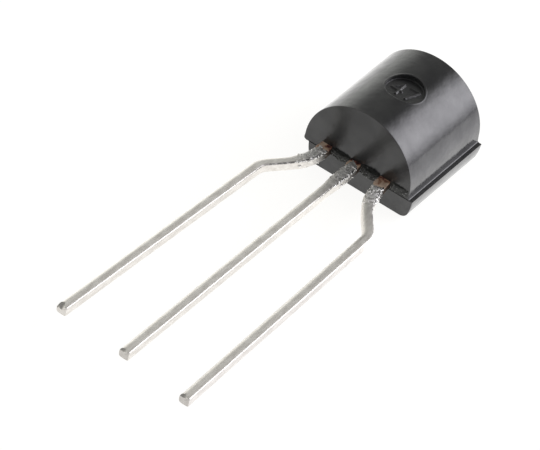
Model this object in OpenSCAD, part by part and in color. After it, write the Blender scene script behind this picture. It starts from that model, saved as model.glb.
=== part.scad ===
// TO-92 transistor: a moulded epoxy body round a stamped lead frame, with formed, solder-dipped leads.
//
// It lies on its flat face. +Z is up, towards the round side, and +X runs along the leads to their
// tips. The origin is on the flat face, under the middle of the body. All sizes are millimetres.

/* [Moulded body] */
// Length of the body along the leads, at the parting line
body_l = 4.56; // [4.3:0.02:5.1]
// Radius of the round half
round_r = 2.31; // [2.25:0.01:2.4]
// Height of the round half's centre line above the flat face
axis_h = 1.17; // [1.06:0.01:1.3]
// Height of the parting line above the flat face
parting_h = 0.9; // [0.84:0.01:1.02]
// Width of the flat half at the parting line
flat_half_w = 4.6; // [4.4:0.02:4.7]
// Draft of the flat half's long sides, in degrees
side_draft = 9; // [2:0.2:12]
// Draft of the flat half's end faces, in degrees
flat_end_draft = 5; // [1:0.5:8]
// Draft of the round half's end faces, in degrees
round_end_draft = 0.5; // [0.5:0.5:4]
// Radius on the flat face's long edges
flat_edge_r = 0.36; // [0.1:0.02:0.5]
// How far the mould halves are out of line across the leads
mould_shift_y = 0.21; // [0:0.01:0.25]
// How far the mould halves are out of line along the leads
mould_shift_x = 0.02; // [0:0.01:0.06]

/* [Marks of the mould] */
// Diameter of the ejector pin's recess in the crown
recess_d = 1.48; // [1:0.02:1.7]
// Depth of the recess below the crown
recess_depth = 0.22; // [0.18:0.01:0.35]
// How far the recess sits off the middle, across the leads
recess_y = 0.07; // [0:0.01:0.1]
// Width of the gate's broken stub on the end face away from the leads
gate_w = 0.9; // [0.5:0.05:1.4]
// How far the gate's stub, and the resin outside the outer leads, stand proud
stub_proud = 0.05; // [0.03:0.01:0.1]
// How far the resin between the leads stands proud
dam_proud = 0.12; // [0.04:0.02:0.18]

/* [Lead frame] */
// Thickness of the copper strip
strip_t = 0.34; // [0.3:0.01:0.4]
// Pitch of the leads at the body
root_pitch = 1.29; // [1.24:0.01:1.34]
// How far the lead frame sits off the middle, towards the collector
frame_off = 0.04; // [0:0.01:0.08]
// Width of a lead where it leaves the body
root_w = 0.44; // [0.4:0.01:0.45]
// Width of the shoulder left where the tie bar was cut away
shoulder_w = 0.47; // [0.46:0.01:0.54]
// Length of the shoulder
shoulder_l = 1.3; // [0.8:0.05:1.5]
// Width of a lead beyond its shoulder
lead_w = 0.37; // [0.34:0.01:0.42]
// Length of bare copper between the body and the solder coat
bare_l = 0.2; // [0.2:0.05:0.5]
// Thickness of the solder coat
coat_t = 0.03; // [0.02:0.005:0.04]

/* [Lead forming] */
// Angle that the outer leads are spread by
spread_angle = 38; // [33:1:42]
// Radius of the knee where the outer leads turn back
knee_r = 0.82; // [0.5:0.02:0.9]
// Radius of the collector lead's slow bend next to the body
collector_bend_r = 2.86; // [2.4:0.02:3.2]
// Distance from the base lead to the collector lead at its knee
collector_pitch = 2.47; // [2.44:0.01:2.6]
// Angle that the collector lead still leans outwards past its knee
collector_splay = 2.3; // [0:0.1:3]
// Distance from the lead end face to the collector lead's tip
collector_l = 13.62; // [8:0.02:15]
// Angle that the base lead leans towards the collector lead
base_lean = 0.2; // [0:0.1:1]
// Distance from the lead end face to the base lead's tip
base_l = 13.82; // [8:0.02:15]
// Radius of the emitter lead's slow bend next to the body
emitter_bend_r = 3.4; // [2.8:0.02:3.6]
// Distance from the base lead to the emitter lead at its knee
emitter_pitch = 2.56; // [2.5:0.01:2.7]
// Angle that the emitter lead still leans outwards past its knee
emitter_splay = 1; // [0:0.1:3]
// Distance from the lead end face to the emitter lead's tip
emitter_l = 14.12; // [8:0.02:15]

/* [Inside the body] */
// Side of the silicon die
die_w = 0.45; // [0.3:0.05:0.6]
// Thickness of the silicon die
die_t = 0.2; // [0.15:0.01:0.25]
// Thickness of the die attach
attach_t = 0.025; // [0.02:0.005:0.04]
// Diameter of the bond wires
wire_d = 0.03; // [0.025:0.005:0.05]
// Height of the wires' loops above a straight line
loop_h = 0.3; // [0.2:0.05:0.45]

/* [Hidden] */
$fn = 96;

half_l = body_l / 2;
crown_h = axis_h + round_r;
// the round half widens a little from its centre line down to the parting line, so it leaves the mould
skirt_flare = 0.02;
// flat face's half width, before its edges are rounded
flat_half_b = flat_half_w / 2 - parting_h * tan(side_draft);

// the strip lies on the parting plane, in the round half
strip_z = parting_h;
strip_top = strip_z + strip_t;

// how deep a lead's straight root reaches into the body, before it turns into a pad or a post
root_in = 0.3;
// the solder climbs a little way past the shoulder, towards the body
shoulder_at = bare_l + 0.05;

// the forming starts close to the body, and each bend has a facet for every few degrees
straight_l = 0.08;
kink_l = 0.5;
facet_angle = 5.5;

coat_edge_r = 0.1;
coat_swell = 0.025;
coat_fade_l = 0.25;
swell_steps = 8;

// die pad and posts: distances are from the lead end face, into the body
pad_start = 1.62;
pad_l = 1.75;
pad_w = 2.35;
pad_side = 0.32;
lock_d = 0.5;
lock_inset = 0.42;
post_l = 0.8;
base_post_w = 0.9;
emitter_post_l = 1.25;
emitter_post_w = 0.66;

// the die sits in the middle of its pad, and each wire ends on its lead's post
die_x = half_l - pad_start - 0.78;
die_y = pad_w / 2 - pad_side - root_pitch - frame_off;
die_top = strip_top + attach_t + die_t;
base_stitch = [half_l - root_in - post_l + 0.2, 0.12 - frame_off, strip_top];
emitter_stitch = [half_l - 2 * root_in - emitter_post_l + 0.3, root_pitch - frame_off, strip_top];
ball_d = 3 * wire_d;
wire_sides = 8;
wire_steps = 12;

// ---- profiles ----

// Round half seen along the leads: a half circle over a short flared skirt.
module round_profile() {
    intersection() {
        translate([0, axis_h]) circle(r = round_r);
        translate([-round_r, axis_h]) square([2 * round_r, round_r]);
    }
    polygon([
        [-round_r - skirt_flare, parting_h], [round_r + skirt_flare, parting_h],
        [round_r, axis_h], [-round_r, axis_h]
    ]);
}

// Flat half seen along the leads: drafted sides, rounded into the flat face.
module flat_profile() {
    reach = flat_edge_r * tan(45 - side_draft / 2);
    flank = [flat_half_b + reach * sin(side_draft), reach * cos(side_draft)];
    polygon([
        [-flat_half_b + reach, 0], [flat_half_b - reach, 0],
        flank, [flat_half_w / 2, parting_h],
        [-flat_half_w / 2, parting_h], [-flank.x, flank.y]
    ]);
    for (side = [-1, 1])
        translate([side * (flat_half_b - reach), flat_edge_r]) circle(r = flat_edge_r);
}

// A mould half seen from the side: its end faces lean in, away from the parting line.
module drafted_side(draft, far_h) {
    inset = abs(far_h - parting_h) * tan(draft);
    polygon([
        [-half_l, parting_h], [half_l, parting_h],
        [half_l - inset, far_h], [-half_l + inset, far_h]
    ]);
}

// What two views have in common: children 0 is seen along X, children 1 along Y.
module mould_half() {
    reach = body_l + round_r;
    intersection() {
        translate([-reach, 0, 0]) rotate([90, 0, 90]) linear_extrude(2 * reach) children(0);
        translate([0, reach, 0]) rotate([90, 0, 0]) linear_extrude(2 * reach) children(1);
    }
}

// A closed skin over rings of points, all with the same number of points, from first to last.
module skin(rings) {
    n = len(rings[0]);
    last = len(rings) - 1;
    walls = [
        for (k = [0 : last - 1], s = [0 : n - 1])
            let (p = k * n + s, q = k * n + (s + 1) % n) each [[p, p + n, q], [q, p + n, q + n]]
    ];
    caps = [[for (s = [0 : n - 1]) s], [for (s = [n - 1 : -1 : 0]) last * n + s]];
    polyhedron([for (ring = rings) each ring], concat(walls, caps));
}

// ---- lead forming ----
// A lead's middle line is a chain of runs: [length, angle it turns through]. It starts at the body.

// Where a run ends, started from [x, y, heading], when only l of it is walked.
function walked(run, l, at) =
    run[1] == 0 ? [at.x + l * cos(at[2]), at.y + l * sin(at[2]), at[2]] :
    let (r = run[0] / run[1] * 180 / PI, heading = at[2] + run[1] * l / run[0]) [
        at.x + r * (sin(heading) - sin(at[2])),
        at.y + r * (cos(at[2]) - cos(heading)), heading
    ];

// Middle line at s along the lead: [x, y, heading].
function mid(s, runs, k = 0, at = [0, 0, 0]) =
    k == len(runs) - 1 || s <= runs[k][0] ? walked(runs[k], s, at) :
    mid(s - runs[k][0], runs, k + 1, walked(runs[k], runs[k][0], at));

function run_start(runs, k) = k == 0 ? 0 : runs[k - 1][0] + run_start(runs, k - 1);
function lead_end(runs) = run_start(runs, len(runs));

// Adds a last straight run, as far as l from the body.
function up_to(l, runs) =
    let (at = mid(lead_end(runs), runs)) concat(runs, [[(l - at.x) / cos(at[2]), 0]]);

// An outer lead: straight out, a slow bend away from the base, a slant, and the knee.
function outer_runs(l, bend_r, pitch, splay) =
    let (
        turn_back = spread_angle - splay,
        rise = bend_r * (1 - cos(spread_angle)) + knee_r * (cos(splay) - cos(spread_angle)),
        slant = max((pitch - root_pitch - rise) / sin(spread_angle), straight_l)
    ) up_to(l, [
        [straight_l, 0],
        [bend_r * spread_angle * PI / 180, spread_angle],
        [slant, 0],
        [knee_r * turn_back * PI / 180, -turn_back]
    ]);

collector_runs = outer_runs(collector_l, collector_bend_r, collector_pitch, collector_splay);
base_runs = up_to(base_l, [[straight_l, 0], [kink_l, -base_lean]]);
emitter_runs = outer_runs(emitter_l, emitter_bend_r, emitter_pitch, emitter_splay);

// Every distance from one point to another that a lead's shape needs, bends included.
function stops(from, to, runs) = [
    from,
    for (k = [0 : len(runs) - 1]) if (runs[k][1] != 0)
        let (facets = ceil(abs(runs[k][1]) / facet_angle), start = run_start(runs, k))
        for (i = [0 : facets])
            let (s = start + i / facets * runs[k][0])
            if (s > from + 0.01 && s < to - 0.01) s,
    to
];

// A point beside the middle line.
function beside(s, offset, runs) =
    let (m = mid(s, runs)) [m.x - offset * sin(m[2]), m.y + offset * cos(m[2])];

// Outline of a stamped lead: root, shoulder and the narrow rest, square at every step.
module lead_outline(runs) {
    shoulder_end = shoulder_at + shoulder_l;
    sides = [
        for (s = stops(-root_in, shoulder_at, runs)) [s, root_w / 2],
        for (s = stops(shoulder_at, shoulder_end, runs)) [s, shoulder_w / 2],
        for (s = stops(shoulder_end, lead_end(runs), runs)) [s, lead_w / 2]
    ];
    polygon([
        for (side = sides) beside(side[0], -side[1], runs),
        for (i = [len(sides) - 1 : -1 : 0]) beside(sides[i][0], sides[i][1], runs)
    ]);
}

// Solder gathers over the shoulder and thins out along the lead: [width, height] at s.
function coat_size(s) =
    let (
        past = min(max((s - shoulder_at - shoulder_l - coat_t) / coat_fade_l, 0), 1),
        on_shoulder = min(max((s - bare_l) / (shoulder_l + coat_fade_l), 0), 1),
        thick = coat_t + coat_swell * sin(180 * on_shoulder)
    ) [
        shoulder_w + (lead_w - shoulder_w) * past + 2 * thick,
        strip_t + 2 * thick
    ];

// Ring of the coat at s: a rectangle with rounded corners, across the lead.
function coat_ring(s, inset, runs) =
    let (size = coat_size(s) - 2 * inset * [1, 1], r = coat_edge_r - inset, m = mid(s, runs)) [
        for (quarter = [0 : 3], a = [0 : 30 : 90])
            let (
                turned = a + 90 * quarter,
                across = (quarter == 0 || quarter == 3 ? 1 : -1) * (size.x / 2 - r) + r * cos(turned),
                up = (quarter < 2 ? 1 : -1) * (size.y / 2 - r) + r * sin(turned)
            ) [m.x - across * sin(m[2]), m.y + across * cos(m[2]), strip_t / 2 + up]
    ];

module coat_outside(runs) {
    swell_end = shoulder_at + shoulder_l + coat_t + coat_fade_l;
    tip = lead_end(runs);
    places = concat(
        [for (i = [0 : swell_steps - 1]) bare_l + i / swell_steps * (swell_end - bare_l)],
        stops(swell_end, tip, runs)
    );
    skin(concat(
        [for (s = places) coat_ring(s, 0, runs)],
        [coat_ring(tip + coat_t, coat_t, runs)]
    ));
}

// Puts a lead where it leaves the body: side is -1, 0 or 1.
module place_lead(side) {
    translate([half_l, side * root_pitch - frame_off, strip_z])
        mirror([0, side < 0 ? 1 : 0, 0]) children();
}

module solder_coat(side, runs) {
    color("silver") place_lead(side) difference() {
        coat_outside(runs);
        linear_extrude(strip_t) lead_outline(runs);
    }
}

// A straight-sided part of the stamping, from its distance behind the lead end face.
module stamped(from, length, y, w) {
    translate([-from - length, y]) square([length, w]);
}

// ---- bond wires ----

// A wire leaves the die straight up and comes down on the post at a slant.
function wire_mid(a, b, u) = [
    a.x + (b.x - a.x) * u * u,
    a.y + (b.y - a.y) * u * u,
    a.z + (b.z - a.z) * u + 4 * loop_h * u * (1 - u)
];
function unit(v) = v / norm(v);

// Ring k of a wire from a to b: the ball on the die, the wire, and its end pressed flat on the post.
function wire_ring(a, b, k) =
    let (
        neck = a + [0, 0, wire_d],
        end = b + [0, 0, wire_d / 4],
        u = max(k - 2, 0) / wire_steps,
        level = unit([b.x - a.x, b.y - a.y, 0]),
        along = k < 3 ? [0, 0, 1] : k == wire_steps + 2 ? level :
            unit(wire_mid(neck, end, u + 0.02) - wire_mid(neck, end, u - 0.02)),
        across = cross([0, 0, 1], level),
        centre = k == 0 ? a : k == 1 ? neck : wire_mid(neck, end, u),
        r = k < 2 ? ball_d / 2 : wire_d / 2
    ) [
        for (i = [0 : wire_sides - 1])
            let (
                around = 360 * (i + 0.5) / wire_sides,
                p = centre + r * (cos(around) * across + sin(around) * cross(along, across))
            ) [p.x, p.y, max(p.z, b.z)]
    ];

module bond_wire(a, b) { skin([for (k = [0 : wire_steps + 2]) wire_ring(a, b, k)]); }

// ---- one module per piece ----

module collector_lead() {
    color("peru") place_lead(-1) linear_extrude(strip_t) {
        lead_outline(collector_runs);
        // arm from the root to the die pad, and the pad, with a hole that locks it in the resin
        stamped(root_in / 2, pad_start, -root_w / 2, root_w);
        difference() {
            stamped(pad_start, pad_l, pad_side - pad_w, pad_w);
            translate([-pad_start - pad_l + lock_inset, pad_side - pad_w / 2]) circle(d = lock_d);
        }
    }
}

module base_lead() {
    color("peru") place_lead(0) linear_extrude(strip_t) {
        lead_outline(base_runs);
        stamped(root_in / 2, root_in, -root_w / 2, root_w);
        stamped(root_in, post_l, -base_post_w / 2, base_post_w);
    }
}

module emitter_lead() {
    color("peru") place_lead(1) linear_extrude(strip_t) {
        lead_outline(emitter_runs);
        stamped(root_in / 2, 2 * root_in, -root_w / 2, root_w);
        stamped(2 * root_in, emitter_post_l, -root_w / 2, emitter_post_w);
    }
}

module collector_solder_coat() { solder_coat(-1, collector_runs); }
module base_solder_coat() { solder_coat(0, base_runs); }
module emitter_solder_coat() { solder_coat(1, emitter_runs); }

module silicon_die() {
    color("slategray") translate([die_x - die_w / 2, die_y - die_w / 2, strip_top + attach_t])
        cube([die_w, die_w, die_t]);
}

module die_attach() {
    w = die_w + 0.06;
    color("gainsboro") translate([die_x - w / 2, die_y - w / 2, strip_top]) cube([w, w, attach_t]);
}

module base_bond_wire() {
    color("gold") bond_wire([die_x + die_w / 5, die_y + die_w / 6, die_top], base_stitch);
}

module emitter_bond_wire() {
    color("gold") bond_wire([die_x - die_w / 5, die_y + die_w / 5, die_top], emitter_stitch);
}

// A bulge of resin as thick as the strip, w wide, with its middle at y on the lead end face.
module resin_bulge(y, w, proud) {
    bulge_r = (w * w / 4 + proud * proud) / (2 * proud);
    translate([half_l, y, strip_z]) linear_extrude(strip_t) intersection() {
        translate([proud - bulge_r, 0]) circle(r = bulge_r);
        translate([-0.2, -w / 2]) square([0.2 + proud, w]);
    }
}

// Resin that ran out beside the leads as far as the tie bar, broken off close to the body.
module dam_resin() {
    gap = root_pitch - root_w;
    outer_w = round_r - root_pitch - root_w / 2 - frame_off - 0.02;
    for (side = [-1, 1]) {
        resin_bulge(side * root_pitch / 2 - frame_off, gap, dam_proud);
        resin_bulge(side * (root_pitch + root_w / 2 + outer_w / 2) - frame_off, outer_w, stub_proud);
    }
}

// Stub of the gate that the resin came in through.
module gate_stub() {
    translate([-half_l - stub_proud, -gate_w / 2, parting_h]) cube([0.5, gate_w, 0.3]);
}

module moulded_body() {
    color([0.13, 0.13, 0.13]) difference() {
        union() {
            mould_half() { round_profile(); drafted_side(round_end_draft, crown_h); }
            translate([mould_shift_x, mould_shift_y, 0])
                mould_half() { flat_profile(); drafted_side(flat_end_draft, 0); }
            dam_resin();
            gate_stub();
        }
        translate([0, recess_y, crown_h - recess_depth]) cylinder(d = recess_d, h = 2 * recess_depth);
        collector_lead();
        base_lead();
        emitter_lead();
        die_attach();
        silicon_die();
        base_bond_wire();
        emitter_bond_wire();
    }
}

moulded_body();
collector_lead();
base_lead();
emitter_lead();
collector_solder_coat();
base_solder_coat();
emitter_solder_coat();
silicon_die();
die_attach();
base_bond_wire();
emitter_bond_wire();
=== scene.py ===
import math

import bmesh
import bpy
import numpy as np
from mathutils import Matrix, Vector


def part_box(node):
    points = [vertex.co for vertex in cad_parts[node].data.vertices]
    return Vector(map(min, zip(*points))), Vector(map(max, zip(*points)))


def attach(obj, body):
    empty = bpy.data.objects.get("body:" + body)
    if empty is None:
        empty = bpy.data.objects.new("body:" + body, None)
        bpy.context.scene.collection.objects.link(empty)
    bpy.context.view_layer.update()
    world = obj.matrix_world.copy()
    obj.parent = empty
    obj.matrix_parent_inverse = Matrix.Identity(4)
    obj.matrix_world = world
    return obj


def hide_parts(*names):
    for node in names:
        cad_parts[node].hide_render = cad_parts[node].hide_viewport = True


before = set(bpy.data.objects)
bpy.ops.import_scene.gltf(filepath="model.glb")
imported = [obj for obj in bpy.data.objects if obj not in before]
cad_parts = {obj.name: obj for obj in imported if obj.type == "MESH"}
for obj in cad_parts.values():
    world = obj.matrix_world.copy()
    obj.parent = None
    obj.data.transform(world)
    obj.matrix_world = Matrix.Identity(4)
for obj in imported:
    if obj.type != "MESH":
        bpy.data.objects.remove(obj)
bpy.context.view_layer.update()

# ---- sizes, in millimetres, in the part's own frame: +X runs along the leads, +Z is the round side ----

MM = 0.001


def box_mm(node):
    """Lowest and highest corner of a node, in millimetres."""
    low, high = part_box(node)
    return np.array(low) / MM, np.array(high) / MM


body_low, body_high = box_mm("moulded_body")
strip_low, strip_high = box_mm("base_lead")

# the round half flares towards the parting line, and its ends lean in a little
SKIRT_FLARE = 0.02
ROUND_END_DRAFT = math.radians(0.5)
# the flat half's sides bulge a little, so that they lean more towards the flat face
FLAT_HALF_TOP = 2.3
SIDE_DRAFT, FLAT_END_DRAFT = math.radians(9), math.radians(5)
SIDE_BULGE, LOW_DRAFT = 0.02, math.radians(16)
FLAT_EDGE_R = 0.36
# the flat half is out of line with the round one, and the gate's stub stands proud of the -X end
MOULD_SHIFT_X = 0.02
STUB_PROUD = 0.05
# pitch and width of the leads where they leave the body, and how far the lead frame is off the middle
ROOT_PITCH, ROOT_W, FRAME_OFF = 1.29, 0.44, 0.04

parting_z, strip_top = strip_low[2], strip_high[2]
strip_mid = (parting_z + strip_top) / 2
face_x = -body_low[0] - STUB_PROUD
crown_z = body_high[2]
round_r = -body_low[1] - SKIRT_FLARE
axis_z = crown_z - round_r
mould_shift_y = body_high[1] - FLAT_HALF_TOP

# the ejector pin's recess in the crown
RIM_R = 0.74
RECESS_DEPTH = 0.22
RECESS_Y = 0.07


# ---- node trees ----

class Wire:
    """A socket of a node tree that works in Python expressions."""

    def __init__(self, tree, socket):
        self.tree, self.socket = tree, socket

    def math(self, operation, *others):
        return self.tree.node("ShaderNodeMath", {"operation": operation}, dict(enumerate((self, *others))))

    def __add__(self, other):
        return self.math("ADD", other)

    def __sub__(self, other):
        return self.math("SUBTRACT", other)

    def __rsub__(self, other):
        return (self * -1) + other

    def __mul__(self, other):
        return self.math("MULTIPLY", other)

    def __pow__(self, other):
        return self.math("POWER", other)

    __radd__ = __add__
    __rmul__ = __mul__

    def step(self, low, high):
        """0 at low, 1 at high, with a smooth change between them."""
        return self.tree.node("ShaderNodeMapRange", {"interpolation_type": "SMOOTHSTEP"}, {
            "Value": self, "From Min": low, "From Max": high, "To Min": 0.0, "To Max": 1.0})

    def vector(self, operation, other=None, output="Vector"):
        inputs = {0: self} if other is None else {0: self, ("Scale" if operation == "SCALE" else 1): other}
        return self.tree.node("ShaderNodeVectorMath", {"operation": operation}, inputs, output)

    def axis(self, name):
        """The X, Y or Z of a vector."""
        return self.tree.node("ShaderNodeSeparateXYZ", None, {0: self}, name)


class Tree:
    """A node tree; node() adds any node to it."""

    def __init__(self, tree):
        self.tree = tree
        self.tree.nodes.clear()

    def feed(self, socket, value):
        """Gives a socket its value, or links it to a wire."""
        if isinstance(value, Wire):
            self.tree.links.new(value.socket, socket)
        else:
            socket.default_value = value

    def node(self, kind, settings=None, inputs=None, output=0):
        made = self.tree.nodes.new(kind)
        for key, value in (settings or {}).items():
            if key == "stops":
                ramp = made.color_ramp
                while len(ramp.elements) < len(value):
                    ramp.elements.new(0.5)
                for element, (place, colour) in zip(ramp.elements, value):
                    element.position, element.color = place, colour
            else:
                setattr(made, key, value)
        for key, value in (inputs or {}).items():
            self.feed(made.inputs[key], value)
        return Wire(self, made.outputs[output]) if len(made.outputs) else made

    def mix(self, factor, a, b):
        """Colour a where factor is 0, colour b where it is 1."""
        mixer = self.tree.nodes.new("ShaderNodeMix")
        mixer.data_type = "RGBA"
        named = {socket.identifier: socket for socket in mixer.inputs}
        for key, value in (("Factor_Float", factor), ("A_Color", a), ("B_Color", b)):
            self.feed(named[key], value)
        return Wire(self, next(s for s in mixer.outputs if s.identifier == "Result_Color"))


class Finish(Tree):
    """A material of its own, with Object coordinates in millimetres."""

    def __init__(self, name):
        self.material = bpy.data.materials.new(name)
        self.material.use_nodes = True
        super().__init__(self.material.node_tree)
        self.mm = self.node("ShaderNodeTexCoord", output="Object").vector("SCALE", 1 / MM)

    def past_face(self, none, full):
        """0 to 1 between two distances from the body's end face along the leads."""
        return self.mm.axis("X").step(face_x + none, face_x + full)

    def read(self, name):
        return self.node("ShaderNodeAttribute", {"attribute_name": name}, None, "Fac")

    def noise(self, scale, detail=2.0, roughness=0.5, stretch=None):
        place = self.mm if stretch is None else self.mm.vector("MULTIPLY", stretch)
        return self.node("ShaderNodeTexNoise", None, {
            "Vector": place, "Scale": scale, "Detail": detail, "Roughness": roughness}, "Fac")

    def bump(self, height, depth_mm, under=None):
        inputs = {"Height": height, "Distance": depth_mm * MM, "Strength": 1.0}
        if under is not None:
            inputs["Normal"] = under
        return self.node("ShaderNodeBump", None, inputs)

    def surface(self, **sockets):
        """The Principled shader with these sockets, as the material's surface."""
        shader = self.node("ShaderNodeBsdfPrincipled", None, {
            key.replace("_", " "): value for key, value in sockets.items()})
        self.node("ShaderNodeOutputMaterial", None, {"Surface": shader})
        return self.material


class Geometry(Tree):
    """A geometry node tree with named inputs."""

    def __init__(self, name, **inputs):
        self.group = bpy.data.node_groups.new(name, "GeometryNodeTree")
        super().__init__(self.group)
        made = {"Geometry": "NodeSocketGeometry"} | inputs
        for key, kind in made.items():
            self.group.interface.new_socket(key, in_out="INPUT", socket_type=kind)
        self.group.interface.new_socket("Geometry", in_out="OUTPUT", socket_type="NodeSocketGeometry")
        entry = self.group.nodes.new("NodeGroupInput")
        self.given = {key: Wire(self, entry.outputs[key]) for key in made}

    def read(self, name, kind="FLOAT"):
        return self.node("GeometryNodeInputNamedAttribute", {"data_type": kind}, {"Name": name}, "Attribute")

    def stored(self, geometry, name, value, domain="POINT"):
        return self.node("GeometryNodeStoreNamedAttribute", {"data_type": "FLOAT", "domain": domain},
                         {"Geometry": geometry, "Name": name, "Value": value})

    def vector(self, x, y, z):
        return self.node("ShaderNodeCombineXYZ", None, {"X": x, "Y": y, "Z": z})

    def random(self, low, high, seed):
        return self.node("FunctionNodeRandomValue", {"data_type": "FLOAT"},
                         {2: low, 3: high, "Seed": seed}, 1)

    def moved(self, geometry, place):
        return self.node("GeometryNodeSetPosition", None, {"Geometry": geometry, "Position": place})

    def joined(self, *parts):
        join = self.tree.nodes.new("GeometryNodeJoinGeometry")
        for part in parts:
            self.tree.links.new(part.socket, join.inputs[0])
        return Wire(self, join.outputs[0])

    def finish(self, geometry, finish):
        """Scales millimetres to metres, realizes what is instanced and sets the finish."""
        small = self.node("GeometryNodeTransform", None, {"Geometry": geometry, "Scale": (MM, MM, MM)})
        real = self.node("GeometryNodeRealizeInstances", None, {"Geometry": small})
        dressed = self.node("GeometryNodeSetMaterial", None, {"Geometry": real, "Material": finish})
        self.tree.links.new(dressed.socket, self.group.nodes.new("NodeGroupOutput").inputs[0])

    def baked(self, piece, **values):
        """Runs the tree on the piece and keeps the result as its plain mesh."""
        worker = piece.modifiers.new(self.group.name, "NODES")
        worker.node_group = self.group
        for item in self.group.interface.items_tree:
            if item.in_out == "INPUT" and item.name in values:
                worker[item.identifier] = values[item.name]
        evaluated(piece)


# ---- mesh helpers ----

def link(name, mesh, finish=None):
    piece = bpy.data.objects.new(name, mesh)
    bpy.context.scene.collection.objects.link(piece)
    if finish is not None:
        mesh.materials.append(finish)
    return piece


def outwards_only(mesh):
    soup = bmesh.new()
    soup.from_mesh(mesh)
    bmesh.ops.recalc_face_normals(soup, faces=soup.faces)
    soup.to_mesh(mesh)
    soup.free()


def mesh_from(name, points, faces):
    """A closed mesh from points in millimetres, with its normals outwards."""
    mesh = bpy.data.meshes.new(name)
    mesh.from_pydata([tuple(float(c) * MM for c in p) for p in points], [], faces)
    outwards_only(mesh)
    return mesh


def evaluated(piece):
    """Works the piece's modifiers into a plain mesh."""
    graph = bpy.context.evaluated_depsgraph_get()
    mesh = bpy.data.meshes.new_from_object(piece.evaluated_get(graph))
    piece.modifiers.clear()
    old, piece.data = piece.data, mesh
    mesh.name = piece.name
    bpy.data.meshes.remove(old)


def union(piece, other):
    joiner = piece.modifiers.new("join", "BOOLEAN")
    joiner.operation, joiner.solver, joiner.object = "UNION", "EXACT", other
    evaluated(piece)
    bpy.data.objects.remove(other)


def shade(piece, sharp_degrees):
    piece.data.shade_smooth()
    piece.data.set_sharp_from_angle(angle=math.radians(sharp_degrees))


def spaced(*runs):
    """Numbers from start to end for each (start, end, steps), without doubles."""
    out = [runs[0][0]]
    for start, end, steps in runs:
        out += [start + (end - start) * k / steps for k in range(1, steps + 1)]
    return out


def quarter(steps):
    """The angles of a quarter turn, from 0 up."""
    return [math.radians(90 * k / steps) for k in range(steps + 1)]


def ease(value, low, high):
    """0 at low, 1 at high, with a smooth change between them."""
    t = min(max((value - low) / (high - low), 0), 1)
    return t * t * (3 - 2 * t)


def blend(a, b, share):
    return a + (b - a) * share


# ---- finishes ----

# where each finish and each painted shade changes along the leads: distances from the body's end face with
# none and all of it
END_FACE = (-0.16, -0.08)
CRUST = (2.0, 0.9)
RIDGE_SHADE_REACH = (3.6, 1.8)
PALE = (1.7, 1.0)
SHADED_SIDES = (1.2, 0.5)
BODY_REFLECTION_FADE = (0.04, 0.26)


def moulding_finish():
    """Black and glossy, wavy as moulded, with a rougher end face and a spark-cut recess."""
    f = Finish("moulding_compound")
    black, grey_black = (0.0115, 0.0115, 0.0125, 1), (0.0165, 0.0165, 0.0165, 1)
    cloud = f.noise(1.5, 4.0, 0.6)
    base = f.mix(cloud.step(0.3, 0.7), black, grey_black)
    x, y = f.mm.axis("X"), f.mm.axis("Y") - RECESS_Y
    spark_cut = (x * x + y * y).step((RIM_R + 0.01) ** 2, (RIM_R - 0.02) ** 2)
    rough = 0.08 + f.noise(2.6, 4.0) * 0.09 + f.noise(38.0, 2.0) * 0.03
    rough = rough + f.past_face(*END_FACE) * 0.11 + spark_cut * 0.16
    wavy = f.bump(f.noise(1.7, 3.0), 0.012)
    orange_peel = f.bump(f.noise(5.0, 4.0, 0.6), 0.006, wavy)
    pitted = f.bump(f.noise(13.0, 3.0, 0.6) * spark_cut, 0.02, orange_peel)
    return f.surface(Base_Color=base, Roughness=rough, Normal=pitted, IOR=1.5,
                     Coat_Weight=cloud.step(0.35, 0.7) * 0.18, Coat_Roughness=0.15)


def broken_resin_finish():
    """Dull where it broke, with painted shade at the top beside the leads, and pale chips on it, partly
    painted glint.
    """
    f = Finish("broken_resin")
    dark, dusty = (0.008, 0.009, 0.007, 1), (0.042, 0.042, 0.038, 1)
    painted_top_shade, chip_tone_and_glint = (0.006, 0.007, 0.005, 1), (0.34, 0.34, 0.33, 1)
    grain, chip = f.noise(12.0, 4.0, 0.6), f.read("bead")
    # painted shade: the resin's top, beside the leads and under the parting line, is mixed towards near black
    shaded_top = f.mm.axis("Z").step(strip_mid - 0.04, strip_top - 0.02)
    base = f.mix(shaded_top * 0.9, f.mix(grain.step(0.42, 0.64), dark, dusty), painted_top_shade)
    # the chips are pale partly as their own tone and partly as painted glint
    base = f.mix(chip * (1 - shaded_top * 0.6), base, chip_tone_and_glint)
    rough = 0.5 - f.noise(11.0, 2.0).step(0.5, 0.64) * 0.25 + shaded_top * 0.2 - chip * 0.15
    return f.surface(Base_Color=base, Roughness=rough, IOR=1.5, Normal=f.bump(grain, 0.03))


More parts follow.
